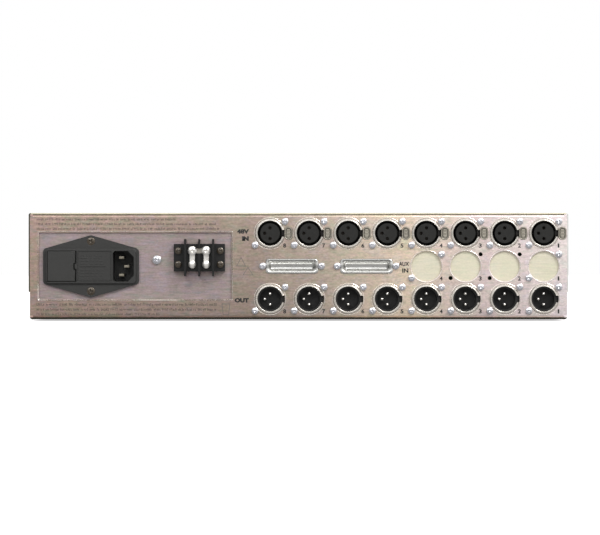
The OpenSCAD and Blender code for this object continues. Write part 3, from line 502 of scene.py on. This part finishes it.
# Painted shade for sheared ends that sit in the gap under and beside the panel.
SHADED_END = (0.04, 0.037, 0.03)
PLATED = dict(colour=(0.50, 0.44, 0.38), metallic=0.8, rough=0.42, stretch=LINES, soil=0.15,
              edge=0.3)
BLACK_PLASTIC = dict(colour=(0.027, 0.027, 0.026), rough=0.52, spread=0.22, grain=1900, bump=0.25,
                     edge=0.35, specular=0.4)
LOOKS = {
    "panel_sheet": dict(colour=(0.6, 0.5, 0.45), metallic=0.75, rough=0.46, spread=0.06,
                        grain=1100, stretch=LINES, soil=0.05, edge=0.3, base=panel_base),
    "plated_sheet": PLATED,
    # Lid: its sheared ends get painted shade on the left and painted highlights on the right seen
    # from behind, and its face is given a darker tone than the plated sheet, painted shade that
    # tones down the strong light from above.
    "lid_sheet": dict(PLATED,
                      base=sheet_base((0.25, 0.222, 0.195), (0.78, 0.72, 0.53),
                                              (0.09, 0.09, 0.07), (0.8, 0.8, 0.77))),
    # Tray: its sheared ends are painted dark, painted shade of the gap along the panel's edges.
    "tray_sheet": dict(PLATED, base=sheet_base((0.50, 0.44, 0.38), SHADED_END, SHADED_END, SHADED_END)),
    "front_paint": dict(colour=(0.045, 0.045, 0.05), spread=0.2, grain=2600, bump=0.35, edge=0.3),
    "power_sheet": dict(colour=(0.5, 0.43, 0.44), metallic=0.75, rough=0.48, spread=0.06,
                        grain=1100, stretch=LINES, soil=0.06,
                        base=brushed_base((0.35, 0.305, 0.30), 0.12, 0.10, 0.7)),
    "strip_sheet": dict(colour=(0.86, 0.80, 0.67), metallic=0.45, spread=0.05, grain=1100,
                        stretch=LINES, bump=0.08, soil=0.04,
                        base=brushed_base((0.66, 0.64, 0.505), 0.05, 0.05, 0.2)),
    "cover_tin": dict(colour=(0.90, 0.90, 0.87), metallic=0.97, rough=0.30, spread=0.03, grain=300,
                      bump=0.0, soil=0.05, edge=0.0, base=tin_base),
    "shell_nickel": dict(colour=(0.90, 0.85, 0.78), metallic=0.95, rough=0.27, spread=0.04,
                         grain=800, bump=0.02, edge=0.1, base=ring_base),
    "insulator": dict(colour=(0.011, 0.011, 0.010), spread=0.15, grain=1500, bump=0.12, edge=0.25,
                      specular=0.3),
    "cup_plastic": dict(colour=(0.008, 0.008, 0.008), rough=0.55, spread=0.15, grain=1500,
                        edge=0.2),
    "contact_silver": dict(colour=(0.92, 0.90, 0.86), metallic=0.9, rough=0.22, spread=0.05,
                           bump=0.03, edge=0.1, base=contact_base),
    "screw_zinc": dict(colour=(0.67, 0.675, 0.72), metallic=0.95, rough=0.24, spread=0.05,
                       grain=500, bump=0.01, edge=0.12),
    "screw_black": dict(colour=(0.062, 0.047, 0.03), metallic=0.6, rough=0.30, spread=0.2,
                        grain=1200, bump=0.05, edge=0.12, coat=0.8),
    "inlet_plastic": BLACK_PLASTIC,
    "drawer_plastic": BLACK_PLASTIC,
    "phenolic": dict(colour=(0.010, 0.010, 0.010), rough=0.42, spread=0.2, grain=1200, bump=0.06,
                     edge=0.3, specular=0.3),
    "terminal_nickel": dict(colour=(0.93, 0.91, 0.87), metallic=0.9, rough=0.33, spread=0.04,
                            grain=400, bump=0.02),
    "latch_metal": dict(colour=(0.30, 0.28, 0.24), metallic=0.5, rough=0.40, spread=0.2,
                        grain=1500, bump=0.2, edge=0.1, base=pad_base),
    "latch_hook": dict(colour=(0.016, 0.013, 0.012), metallic=0.2, rough=0.4, spread=0.2,
                       grain=1200, edge=0.2),
    "knob_metal": dict(colour=(0.66, 0.66, 0.67), metallic=0.95, rough=0.33, spread=0.06,
                       bump=0.05, edge=0.2),
    "switch_metal": dict(colour=(0.55, 0.55, 0.55), metallic=0.9, rough=0.4),
    "switch_plastic": dict(colour=(0.08, 0.08, 0.085)),
    "button_plastic": dict(colour=(0.72, 0.71, 0.66), rough=0.34, spread=0.05, grain=1400,
                           bump=0.06, edge=0.3),
    "rocker_plastic": dict(colour=(0.03, 0.03, 0.032), rough=0.36, spread=0.15, grain=1600,
                           bump=0.12, edge=0.3),
    "led_lens": dict(colour=(0.62, 0.05, 0.03), rough=0.14, spread=0.05, grain=600, bump=0.02,
                     see_through=0.35, glow=0.05),
    "board": dict(colour=(0.03, 0.16, 0.07), rough=0.35, spread=0.15, grain=700, coat=0.3),
    "potting": dict(colour=(0.035, 0.035, 0.045), spread=0.2, bump=0.2),
    "sleeve": dict(colour=(0.03, 0.04, 0.12), rough=0.3, grain=700, coat=0.3),
    "winding_tape": dict(colour=(0.62, 0.42, 0.10), rough=0.3, spread=0.12, grain=500,
                         stretch=(1, 1, 3), bump=0.3, coat=0.4),
    "clamp_steel": dict(colour=(0.58, 0.57, 0.55), metallic=0.9, rough=0.42),
    "brass_post": dict(colour=(0.72, 0.56, 0.28), metallic=0.95, rough=0.35),
    "cable_jacket": dict(colour=(0.14, 0.10, 0.09)),
    "fuse_glass": dict(colour=(0.85, 0.87, 0.86), rough=0.1, spread=0.03, grain=600,
                       see_through=0.6),
    "raised_edge": dict(colour=(0.97, 0.93, 0.88), metallic=0.9, rough=0.25, spread=0.04, bump=0.0,
                        edge=0.0),
    "link_metal": dict(colour=(0.40, 0.375, 0.33), metallic=0.85, rough=0.42, grain=700, bump=0.04,
                       edge=0.1),
    # Mains blades: a dark metal, painted shade of the inlet's deep socket round them.
    "shaded_blade_metal": dict(colour=(0.34, 0.31, 0.25), metallic=0.85, rough=0.36, spread=0.12,
                        grain=700, bump=0.03, edge=0.2),
    # Outer collar of the shells: nickel painted darker, as painted shade on their outward slope and
    # in the gap round them.
    "collar": dict(colour=(0.46, 0.42, 0.38), metallic=0.9, rough=0.34, spread=0.04, bump=0.0,
                   edge=0.0),
    "ink": dict(colour=(0.013, 0.012, 0.012), rough=0.55, spread=0.15, grain=3000, bump=0.03,
                edge=0.02),
    "pale_ink": dict(colour=(0.70, 0.70, 0.67), rough=0.55, spread=0.08, grain=3000, bump=0.03,
                     edge=0.02),
    "note_ink": dict(colour=(0.05, 0.04, 0.034), rough=0.55, spread=0.25, grain=3000, bump=0.03,
                     edge=0.02),
    "faint_ink": dict(colour=(0.16, 0.14, 0.13), rough=0.55, spread=0.25, grain=3000, bump=0.03,
                      edge=0.02),
}
M = {name: material(name, **look) for name, look in LOOKS.items()}

# Nodes whose look isn't the one of their slot.
FINISH = {"top_cover": "lid_sheet", "chassis_tray": "tray_sheet", "ground_link": "link_metal",
          "inlet_blades": "shaded_blade_metal"}
for node_name, node_object in nodes.items():
    node_object.data.materials.clear()
    node_object.data.materials.append(M[FINISH.get(node_name, SLOTS[node_name])])

# Sheets and mouldings whose edges show get real rounded edges, this many mm wide.
ROUNDED = {"front_panel": 0.4, "inlet_housing": 0.3, "fuse_drawer": 0.3, "terminal_block": 0.25,
           "xlr_female_inserts": 0.25, "power_switch_frame": 0.3, "power_rocker": 0.35,
           "terminal_plates": 0.12, "ground_link": 0.12}
for node_name, width in ROUNDED.items():
    node_object = nodes[node_name]
    weld = node_object.modifiers.new("weld", "WELD")
    weld.merge_threshold = 2e-6
    rounding = node_object.modifiers.new("rounding", "BEVEL")
    rounding.width = width * MM
    rounding.segments = 2
    rounding.limit_method = "ANGLE"
    rounding.angle_limit = math.radians(40)
    rounding.harden_normals = False
    node_object.modifiers.new("normals", "WEIGHTED_NORMAL").keep_sharp = False

rng = random.Random(9)


# ---------------------------------------------------------------- screws

def cross_tool(r, top, deep):
    """Tapered cross that sinks deep below top."""
    rings = []
    for z, s in ((top + 0.3, 1.06), (top - 0.25 * deep, 0.95), (top - deep, 0.35)):
        a, b = 0.56 * r * s, 0.13 * r * (0.55 + 0.45 * s)
        rings.append([(a, -b, z), (a, b, z), (b, b, z), (b, a, z), (-b, a, z), (-b, b, z),
                      (-a, b, z), (-a, -b, z), (-b, -b, z), (-b, -a, z), (b, -a, z), (b, -b, z)])
    return loft(rings)


def dome(r, h, rim, n=7):
    """Profile of a domed head from its rim up, as (radius, z)."""
    rise = h - rim
    ball = (r * r + rise * rise) / (2 * rise)
    points = []
    for i in range(n):
        x = r * math.cos(math.pi / 2 * i / n)
        points.append((x, h - ball + math.sqrt(ball * ball - x * x)))
    points.append((0.02, h))
    return points


def pan_screw(shank_r, r, h, length, n=40):
    """Screw with a domed head of height h and a cross in it. Its shank goes down from z 0."""
    rim = 0.62 * h
    body = [(0.02, -length), (shank_r, -length), (shank_r, 0.05), (r - 0.18, 0.05), (r, 0.25)]
    return cut(lathe(body + dome(r, h, rim), n), cross_tool(r, h, 0.5 * h))


def flat_screw(shank_r, r, length, n=36):
    """Countersunk screw, its head's face at z 0."""
    body = [(0.02, -length), (shank_r, -length), (shank_r, shank_r - r), (r, -0.15),
            (r - 0.15, 0), (0.02, 0.1)]
    return cut(lathe(body, n), cross_tool(r, 0.05, 1.1))


small = pan_screw(1.45, 2.7, 2.0, 6)
places = []
for k in CHANNELS:
    for row in (XLR_ROW, -XLR_ROW):
        places += [(xlr_x(k) + s * D_SCREW[0], row + s * D_SCREW[1]) for s in (-1, 1)]
for k in (1, 4):
    places += [(xlr_x(k) + s * D_SCREW[0], s * D_SCREW[1]) for s in (-1, 1)]
for x in DSUB_X:
    places += [(x + s * DSUB_SCREW, 0.0) for s in (-1, 1)]
heads = Shape()
for x, y in places:
    heads.add(small, rear(x, y, 0, rng.uniform(0, math.pi)))
heads.add(pan_screw(1.95, 3.5, 2.5, 8), rear(*EARTH, PLATE_Z, 0.5))
make("panel_screws", heads, M["screw_zinc"], replaces=["rear_screws"], smooth=50)

clamps = Shape()
clamp = pan_screw(1.75, 3.6, 2.6, 5.5)
rivet = lathe([(0.02, -5), (1.7, -5), (1.7, 0.02), (2.9, 0.02), (3.1, 0.3)]
              + dome(3.1, 2.2, 1.3), 40)
for s in (-0.5, 0.5):
    x = STRIP[0] + s * STRIP_PITCH
    clamps.add(clamp, rear(x, STRIP[1] + POST_DY, PLATE_Z + 7.7, rng.uniform(0, 3)))
    clamps.add(rivet, rear(x, STRIP[1] - POST_DY, PLATE_Z + 6.85))
make("strip_clamps", clamps, M["terminal_nickel"],
     replaces=["terminal_screws"], smooth=50)

blacks = Shape()
dark_pan = pan_screw(1.4, 2.7, 1.8, 12)
dark_flat = flat_screw(1.4, 3.3, 9)
for sx in (-1, 1):
    for sy in (-1, 1):
        blacks.add(dark_pan, rear(STRIP[0] + sx * 1.5 * STRIP_PITCH, STRIP[1] + sy * POST_DY,
                                  PLATE_Z + 6.4, rng.uniform(0, 3)))
for s in (-1, 1):
    blacks.add(dark_flat, rear(INLET[0], INLET[1] + INLET_SCREW * s, PLATE_Z + 2.5,
                               rng.uniform(0, 3)))
make("plate_screws", blacks, M["screw_black"],
     replaces=["power_plate_screws"], smooth=50)


# ---------------------------------------------------------------- connectors

# Rings round the bores, open on the latch tab's side. The outputs' rings are the same.
# Half the opening of a ring and of an input's raised edge, in radians.
LATCH_GAP = math.asin(2.8 / 11)
LIP_GAP = 0.44
beads = Shape()
collars = Shape()
# The collars take the darker nickel, painted shade round each shell.
xlr_collar = [(10.9, -1.5), (11.82, -1.5), (11.82, -0.05), (11.65, 0.12), (11.1, 0.16),
              (10.9, 0.02)]
for k in CHANNELS:
    for row, bore in ((XLR_ROW, 9.72), (-XLR_ROW, 9.67)):
        bead = [(bore, -1.6), (10.95, -1.6), (10.95, 0.45), (10.87, 0.8), (10.7, 1.0),
                (10.45, 1.1), (10.2, 1.06), (9.98, 0.9), (9.86, 0.6), (bore, 0.3)]
        beads.add(part_ring(bead, LATCH_GAP), rear(xlr_x(k), row))
        collars.add(part_ring(xlr_collar, LATCH_GAP), rear(xlr_x(k), row))
make("xlr_beads", beads, M["shell_nickel"], smooth=40)
make("xlr_collars", collars, M["collar"], smooth=40)

# Raised edges round the openings of the panel.
lip = [(HOLE_R + r, z) for r, z in ((0.85, -0.02), (0.85, 0.22), (0.75, 0.27), (-0.02, -0.3),
                                    (-0.02, -0.5), (0.2, -0.5))]
lips = Shape()
for k in CHANNELS:
    lips.add(part_ring(lip, LIP_GAP), rear(xlr_x(k), XLR_ROW))
    lips.add(ring_lathe(lip), rear(xlr_x(k), -XLR_ROW))
    if k in SPARES:
        lips.add(ring_lathe(lip), rear(xlr_x(k)))
x, y, w, h = WINDOW
frame_rings = [(1.9, -0.02), (1.9, 0.22), (1.75, 0.3), (-0.02, -0.6), (-0.02, -0.9), (0.3, -0.9)]
lips.add(loft([round_rect(w + grow, h + grow, 0.7, z, 3) for grow, z in frame_rings],
              closed=True), rear(x, y))
make("opening_edges", lips, M["raised_edge"], smooth=30)

# Welds that close the four corners of the panel's folds.
welds = Shape()
for sx in (-1, 1):
    for y in (40.3, -39.8):
        welds.add(pillow(2.5, 2.4, 0.6, -1.5, -0.12, 0.25, 3), rear(sx * 213.6, y))
make("corner_welds", welds, M["panel_sheet"])

pad = loft([round_rect(w, h, r, z, 6) for w, h, r, z in (
    (5.8, 9.6, 2.6, -8.0), (6.2, 10.0, 2.8, -7.7), (6.2, 10.0, 2.8, 0.35), (6.05, 9.85, 2.75, 0.62),
    (5.7, 9.5, 2.55, 0.72), (5.3, 9.1, 2.35, 0.66), (5.05, 8.85, 2.25, 0.45),
    (4.6, 8.4, 2.0, 0.42))])
for y, w in ((2.9, 2.4), (1.75, 3.4), (0.6, 2.8), (-0.6, 3.5), (-1.75, 2.9), (-2.9, 2.3)):
    pad.add(pillow(w, 0.62, 0.25, 0.3, 0.64, 0.15, 2), shift(0, y))
hook = pillow(5.0, 4.2, 0.8, -6.0, -4.5, 0.4, 3)
for k in CHANNELS:
    make(f"latch_{k}_pad", Shape().add(pad, rear(xlr_x(k) + TAB_X, XLR_ROW)), M["latch_metal"],
         f"latch_{k}", smooth=45)
    make(f"latch_{k}_hook", Shape().add(hook, rear(xlr_x(k) + 11.4, XLR_ROW)), M["latch_hook"],
         f"latch_{k}", [f"latch_tab_{k}"])

# Pressed covers over the two spare D-sub openings.
cover = loft([round_rect(w, h, r, z, 8) for w, h, r, z in (
    (36.0, 7.0, 2.4, -5.2), (53.0, 12.5, 1.5, -2.4), (53.0, 12.5, 1.5, -1.65),
    (40.9, 10.9, 2.4, -1.6), (40.9, 10.9, 2.4, 0.02), (42.5, 12.2, 2.9, 0.02),
    (42.5, 12.2, 2.9, 0.14), (42.2, 11.9, 2.8, 0.40), (41.6, 11.3, 2.7, 0.66),
    (40.7, 10.5, 2.6, 0.88), (39.7, 9.7, 2.4, 0.98), (38.7, 9.0, 2.2, 0.92),
    (37.7, 8.2, 2.1, 0.62), (36.8, 7.4, 2.0, 0.10), (36.0, 6.7, 1.9, -0.7),
    (35.4, 6.2, 1.8, -1.7), (34.8, 5.8, 1.7, -2.8), (34.0, 5.0, 1.6, -3.5),
    (32.6, 3.8, 1.5, -3.95), (30.5, 2.2, 1.0, -4.15), (28.5, 0.8, 0.35, -4.2))])
shape = Shape()
for x in DSUB_X:
    shape.add(cover, rear(x))
make("dsub_pans", shape, M["cover_tin"], replaces=["dsub_covers"], smooth=50)

# Raised marks on the inlet's rating field.
field = Shape()
for y in (8.6, 6.6, 4.4, 2.0, -3.2, -5.4, -7.6, -9.8):
    x = -8.6
    while x < 9.5:
        w = rng.uniform(1.2, 3.6)
        field.add(pillow(w, 0.75, 0.2, -0.05, 0.14, 0.06, 2),
                  rear(INLET[0] + x + w / 2, INLET[1] + y, PLATE_Z + 4.4))
        x += w + rng.uniform(0.7, 2.2)
make("inlet_field", field, M["inlet_plastic"])


# ---------------------------------------------------------------- printing

def words(shape, view, text, x, y, height, width=None, face=0.0, weight=PLAIN):
    """Prints text in the middle of (x, y) on the plane z = face of a view."""
    shape.add(lettering(text, height, width, weight), view(x, y, face + INK_Z))


def fine_print(shape, x0, x1, y, height=1.85):
    """A line too small to read: groups of small upright and level strokes."""
    x = x0
    left = 5
    while x < x1:
        if left == 0:
            left = rng.randint(2, 9)
            x += 1.0
            continue
        tall = height * rng.choice((0.72, 0.72, 1.0))
        foot = y - height / 2
        shape.add(bar(x, foot, x + 0.3, foot + tall, *PRINT), rear())
        if rng.random() < 0.75:
            level = foot + tall * rng.choice((0.0, 0.5, 0.84))
            shape.add(bar(x + 0.2, level, x + 0.85, level + 0.3, *PRINT), rear())
        if rng.random() < 0.4:
            shape.add(bar(x + 0.62, foot, x + 0.86, foot + 0.72 * height, *PRINT), rear())
        x += rng.uniform(1.05, 1.3)
        left -= 1


def outline(shape, corners, width=0.5):
    """Closed line through the corners."""
    for start, end in zip(corners, corners[1:] + corners[:1]):
        a, b = Vector(start), Vector(end)
        run = b - a
        side = Vector((-run.y, run.x)).normalized() * width / 2
        along = run.normalized() * width * 0.45
        q = [a - along + side, a - along - side, b + along - side, b + along + side]
        shape.add(loft([[(p.x, p.y, z) for p in q] for z in PRINT]), rear())


ink = Shape()
numbered = [(k, row) for k in CHANNELS for row in (XLR_ROW, -XLR_ROW)]
for k, row in numbered + [(k, 0.0) for k in SPARES]:
    words(ink, rear, str(k), xlr_x(k) + 11.7, row - 9.8, 3.4, 1.3 if k == 1 else 2.4,
          weight=THIN)
words(ink, rear, "48V", -44.4, 27.8, 3.7, 9.6)
words(ink, rear, "IN", -42.5, 22.1, 3.7, 5.4, weight=BOLD)
words(ink, rear, "OUT", -45.4, -27.3, 3.7, 11.4, weight=BOLD)
words(ink, rear, "AUX", 84.4, 1.8, 3.4, 8.2, weight=THIN)
words(ink, rear, "IN", 85.4, -3.5, 3.4, 5.0, weight=THIN)
make("rear_legends", ink, M["ink"])

notes = Shape()
for x0, x1, y in ((-209.4, -99.0, 37.6), (-209.4, -66.0, 33.8), (-209.4, -63.4, 30.0),
                  (-209.4, -66.0, -30.6), (-209.4, -66.0, -34.6), (-209.4, -111.0, -38.3)):
    fine_print(notes, x0, x1, y)
make("rear_notes", notes, M["note_ink"])

faint = Shape()
outline(faint, [(-49.5, 0.2), (-42.4, 0.2), (-45.9, 6.8)])
outline(faint, [(-44.3, -7.0), (-36.6, -7.0), (-40.4, -0.8)])
outline(faint, [(-61.2, -30.2), (-54.9, -30.2), (-55.9, -38.6), (-60.2, -38.6)])
make("rear_symbols", faint, M["faint_ink"])

DIAL_R = 17.6            # circle of the dial's numbers
dials = Shape()
for k in CHANNELS:
    x = CHANNEL_X[k]
    for i in range(21):
        a = math.radians(240 - 15 * i)
        long = i % 2 == 0
        tick = bar(13.6, -0.18, 15.6 if long else 14.8, 0.18, -0.02, 0.04)
        dials.add(tick, front(x, GAIN_Z, FACE_T, a))
        if long:
            words(dials, front, str(i // 2), x + DIAL_R * math.cos(a),
                  GAIN_Z + DIAL_R * math.sin(a), 1.9, face=FACE_T)
    words(dials, front, str(k), x, 38.6, 3.4, face=FACE_T)
    words(dials, front, "48V", x - 9.5, BUTTON_Z, 2.2, face=FACE_T)
    words(dials, front, "GAIN", x, -17.4, 2.1, face=FACE_T)
words(dials, front, "POWER", POWER_X, 18.5, 2.6, face=FACE_T)
make("front_legends", dials, M["pale_ink"])


# ---------------------------------------------------------------- front controls

def fluted(r, depth, z, n=160, flutes=20):
    """Outline of the grip, with a plain stretch at the pointer."""
    points = []
    for i in range(n):
        a = 2 * math.pi * i / n
        wave = max(0.0, math.cos((a - math.pi / 2) * flutes + math.pi)) ** 1.5
        off = abs((a - math.pi / 2 + math.pi) % (2 * math.pi) - math.pi)
        wave *= 0 if off < math.radians(9) else 1
        points.append(((r - depth * wave) * math.cos(a), (r - depth * wave) * math.sin(a), z))
    return points


KNOB_REST = math.radians(150)    # the pointer is on 0
BACK = FACE_T + 1.2      # of the knob
TOP = BACK + 16
knob = loft([fluted(r, d, z) for r, d, z in (
    (8.8, 0, BACK + 4), (8.8, 0, BACK), (12.0, 0, BACK), (12.4, 0, BACK + 0.35),
    (12.4, 0, BACK + 1.9), (12.1, 0, BACK + 2.3), (11.2, 0.1, BACK + 2.5),
    (11.0, 0.75, BACK + 3.1), (10.8, 0.75, TOP - 1.3), (10.6, 0.6, TOP - 0.7),
    (10.1, 0.25, TOP - 0.2), (9.5, 0, TOP), (9.1, 0, TOP), (8.8, 0, TOP - 0.25),
    (6.0, 0, TOP - 0.4), (5.8, 0, TOP - 0.32), (5.6, 0, TOP - 0.42), (3.0, 0, TOP - 0.46),
    (2.8, 0, TOP - 0.38), (2.6, 0, TOP - 0.48), (0.1, 0, TOP - 0.5))])
knob.add(lathe([(0.02, -18), (2.8, -18), (3, -17.8), (3, BACK + 5), (0.02, BACK + 5)], 32))
pointer = Shape()
pointer.add(pillow(0.9, 6.6, 0.4, TOP - 0.9, TOP + 0.1, 0.12, 3), shift(0, 7.0))
pointer.add(pillow(0.9, 1.0, 0.1, BACK + 2.2, TOP - 0.6, 0.1, 2), shift(0, 10.6))
for k in CHANNELS:
    spot = front(CHANNEL_X[k], GAIN_Z, 0, KNOB_REST)
    make(f"knob_{k}_grip", Shape().add(knob, spot), M["knob_metal"], f"knob_{k}",
         [f"gain_knob_{k}"], 30)
    make(f"knob_{k}_pointer", Shape().add(pointer, spot), M["rocker_plastic"], f"knob_{k}")

cap = loft([round_rect(w, w, r, z, 5) for w, r, z in (
    (3.4, 0.4, -6), (3.4, 0.4, 0.9), (7.0, 0.8, 0.9), (7.0, 0.8, FACE_T + 2.7),
    (6.8, 0.8, FACE_T + 3.15), (6.3, 0.7, FACE_T + 3.38), (5.7, 0.6, FACE_T + 3.36),
    (5.0, 0.6, FACE_T + 3.2), (2.0, 0.5, FACE_T + 3.05))])
for k in CHANNELS:
    make(f"phantom_{k}_cap", Shape().add(cap, front(CHANNEL_X[k], BUTTON_Z)), M["button_plastic"],
         f"button_{k}", [f"phantom_button_{k}"], 40)

LENS_R = 1.5
LENS_Z = FACE_T + 0.45   # where the lens's dome begins
lens = [(0.02, -23.8), (LENS_R, -23.8), (LENS_R, LENS_Z)]
for a in range(15, 90, 15):
    a = math.radians(a)
    lens.append((LENS_R * math.cos(a), LENS_Z + LENS_R * math.sin(a)))
lens = lathe(lens + [(0.02, LENS_Z + LENS_R)], 24)
lamp_collar = ring_lathe([(r, FACE_T + z) for r, z in (
    (1.52, -0.3), (2.3, -0.3), (2.3, 0.25), (2.15, 0.4), (1.7, 0.4), (1.52, 0.25))], 32)
lenses = Shape()
lamp_collars = Shape()
for k in CHANNELS:
    for dx, y in ((-4, LED_Z), (4, LED_Z), (9, BUTTON_Z)):
        lenses.add(lens, front(CHANNEL_X[k] + dx, y))
        lamp_collars.add(lamp_collar, front(CHANNEL_X[k] + dx, y))
make("lamp_lenses", lenses, M["led_lens"], replaces=["indicator_leds"])
make("lamp_collars", lamp_collars, M["switch_metal"])

# Generic on and off marks on the two sloping halves of the rocker.
rocker = front(POWER_X, 0, FACE_T - 1) @ Matrix.Rotation(ROCKER_TILT, 4, "X")
mark_z = 4.6 - 4.5 * math.tan(ROCKER_TILT)
marks = Shape()
upper = rocker @ shift(0, 4.8, mark_z) @ Matrix.Rotation(ROCKER_TILT, 4, "X")
lower = rocker @ shift(0, -4.8, mark_z) @ Matrix.Rotation(-ROCKER_TILT, 4, "X")
marks.add(bar(-0.3, -1.5, 0.3, 1.5, -0.1, 0.06), upper)
marks.add(ring_lathe([(1.1, -0.1), (1.6, -0.1), (1.6, 0.06), (1.1, 0.06)], 32), lower)
make("rocker_marks", marks, M["pale_ink"], "rocker")


# ---------------------------------------------------------------- stage

def studio_material(name, seen, hidden, glow):
    """Pale to the camera, darker to every other ray, so that the metal has something dark
    to mirror below it."""
    made = bpy.data.materials.new(name)
    made.use_nodes = True
    n = Nodes(made.node_tree)
    shader = made.node_tree.nodes["Principled BSDF"]
    where = n.new("ShaderNodeTexCoord").outputs["Object"]
    shade = n.ramp(n.noise(where, 3.0), ((0.3, grey(seen * 0.985)), (0.7, grey(seen))))
    direct = n.new("ShaderNodeLightPath").outputs["Is Camera Ray"]
    n.put(shader.inputs["Base Color"], n.mix(direct, grey(hidden), shade))
    shader.inputs["Roughness"].default_value = 0.9
    shader.inputs["Specular IOR Level"].default_value = 0.1
    shader.inputs["Emission Color"].default_value = (1, 1, 1, 1)
    n.put(shader.inputs["Emission Strength"], n.maths("MULTIPLY", direct, glow))
    return made


REACH = 12.0             # half the floor's width, in metres
floor_mesh = bpy.data.meshes.new("floor")
floor_mesh.from_pydata([(x * REACH, y * REACH, LOWEST)
                        for x, y in ((-1, -1), (1, -1), (1, 1), (-1, 1))], [], [(0, 1, 2, 3)])
floor_mesh.materials.append(studio_material("floor", 0.50, 0.30, 0.60))
floor = bpy.data.objects.new("floor", floor_mesh)
bpy.context.scene.collection.objects.link(floor)

world = bpy.data.worlds.new("studio")
bpy.context.scene.world = world
world.use_nodes = True
n = Nodes(world.node_tree)
world.node_tree.nodes.clear()
# Light from all round, brighter from above and from -X. The camera sees plain white.
way = n.new("ShaderNodeTexCoord").outputs["Generated"]
height = n.span(n.axis(way, 2), -0.15, 0.75, 0.46, 1.36)
glow = n.maths("MULTIPLY_ADD", n.axis(way, 0), -0.40, height)
soft = n.new("ShaderNodeBackground", Color=(1.0, 0.985, 0.97, 1), Strength=glow)
plain = n.new("ShaderNodeBackground", Color=(1, 1, 1, 1), Strength=1.0)
both = n.new("ShaderNodeMixShader")
n.put(both.inputs[0], n.new("ShaderNodeLightPath").outputs["Is Camera Ray"])
n.put(both.inputs[1], soft.outputs[0])
n.put(both.inputs[2], plain.outputs[0])
n.new("ShaderNodeOutputWorld", Surface=both.outputs[0])


def area_light(name, spot, target, power, size, colour=(1, 1, 1)):
    light = bpy.data.lights.new(name, "AREA")
    light.energy = power
    light.shape = "RECTANGLE"
    light.size, light.size_y = size
    light.color = colour
    obj = bpy.data.objects.new(name, light)
    bpy.context.scene.collection.objects.link(obj)
    obj.location = spot
    obj.rotation_mode = "QUATERNION"
    obj.rotation_quaternion = (Vector(target) - Vector(spot)).to_track_quat("-Z", "Y")


BACK_MID = (0.0, DEPTH * MM, 0.0)
area_light("key_behind", (-1.1, 1.7, 1.5), BACK_MID, 30, (0.7, 0.7), (1, 0.985, 0.97))
area_light("strip_behind", (0.5, 1.9, 0.9), BACK_MID, 7, (1.4, 0.35), (0.96, 0.98, 1))
area_light("key_front", (1.1, -1.6, 1.3), (0, 0, 0), 16, (0.8, 0.8))

VIEW_FROM = 2.2          # metres from the connector panel to the camera
camera_data = bpy.data.cameras.new("camera")
camera_data.lens = 165
camera_data.sensor_width = 36
camera = bpy.data.objects.new("camera", camera_data)
bpy.context.scene.collection.objects.link(camera)
camera.location = (-0.0012, DEPTH * MM + VIEW_FROM, -0.00104)
camera.rotation_euler = (math.radians(90), 0, math.radians(180))
bpy.context.scene.camera = camera
bpy.context.scene.view_settings.view_transform = "Standard"
